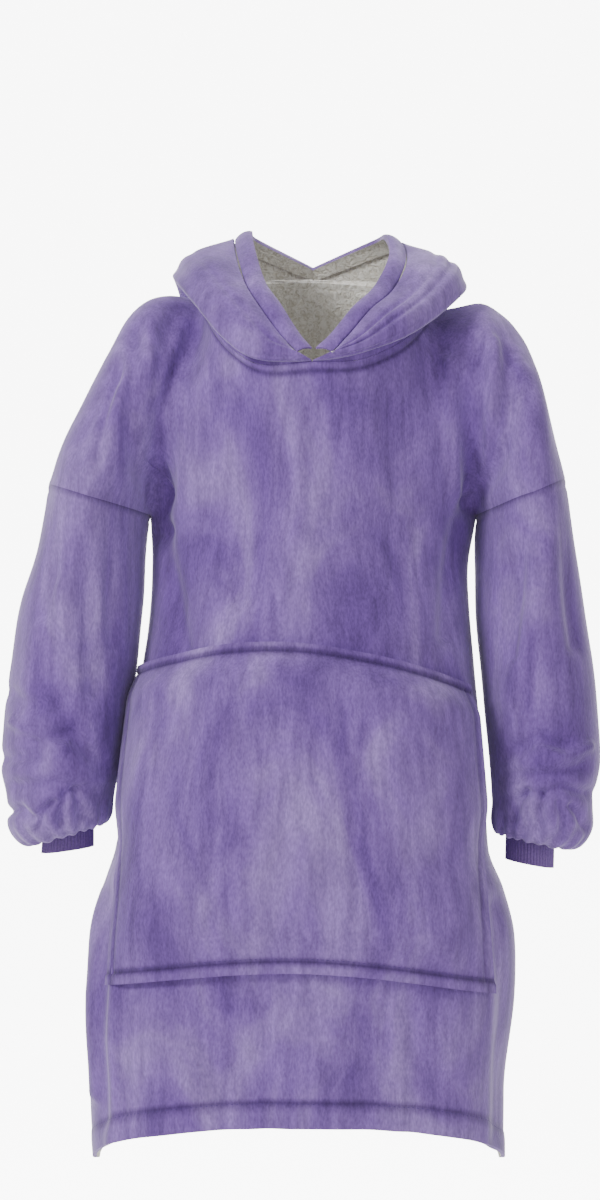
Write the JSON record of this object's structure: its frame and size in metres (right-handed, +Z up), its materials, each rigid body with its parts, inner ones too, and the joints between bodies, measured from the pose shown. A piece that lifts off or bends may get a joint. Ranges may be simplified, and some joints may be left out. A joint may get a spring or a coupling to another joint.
{
  "type": "wearable blanket hoodie",
  "caption": "Purple plush wearable blanket hoodie with a sherpa-lined hood down, wide drop-shoulder sleeves, ribbed cuffs and a big front pocket.",
  "frame": {"origin": "between the shoulders of whoever wears it, inside the neck, at the height of the shoulder line", "axes": "+Z up, front towards -Y, +X to the right of a viewer in front"},
  "size_m": [0.6073, 0.4059, 0.9538],
  "materials": {
    "plush": "soft nap, purple outside, white sherpa inside",
    "rib": "fine rib knit"
  },
  "bodies": {
    "root": {"front": "plush", "back": "plush", "sleeve_left": "plush", "sleeve_right": "plush", "cuff_left": "rib", "cuff_right": "rib", "hood_left": "plush", "hood_right": "plush", "hood_band": "plush", "pocket": "plush"}
  },
  "joints": []
}
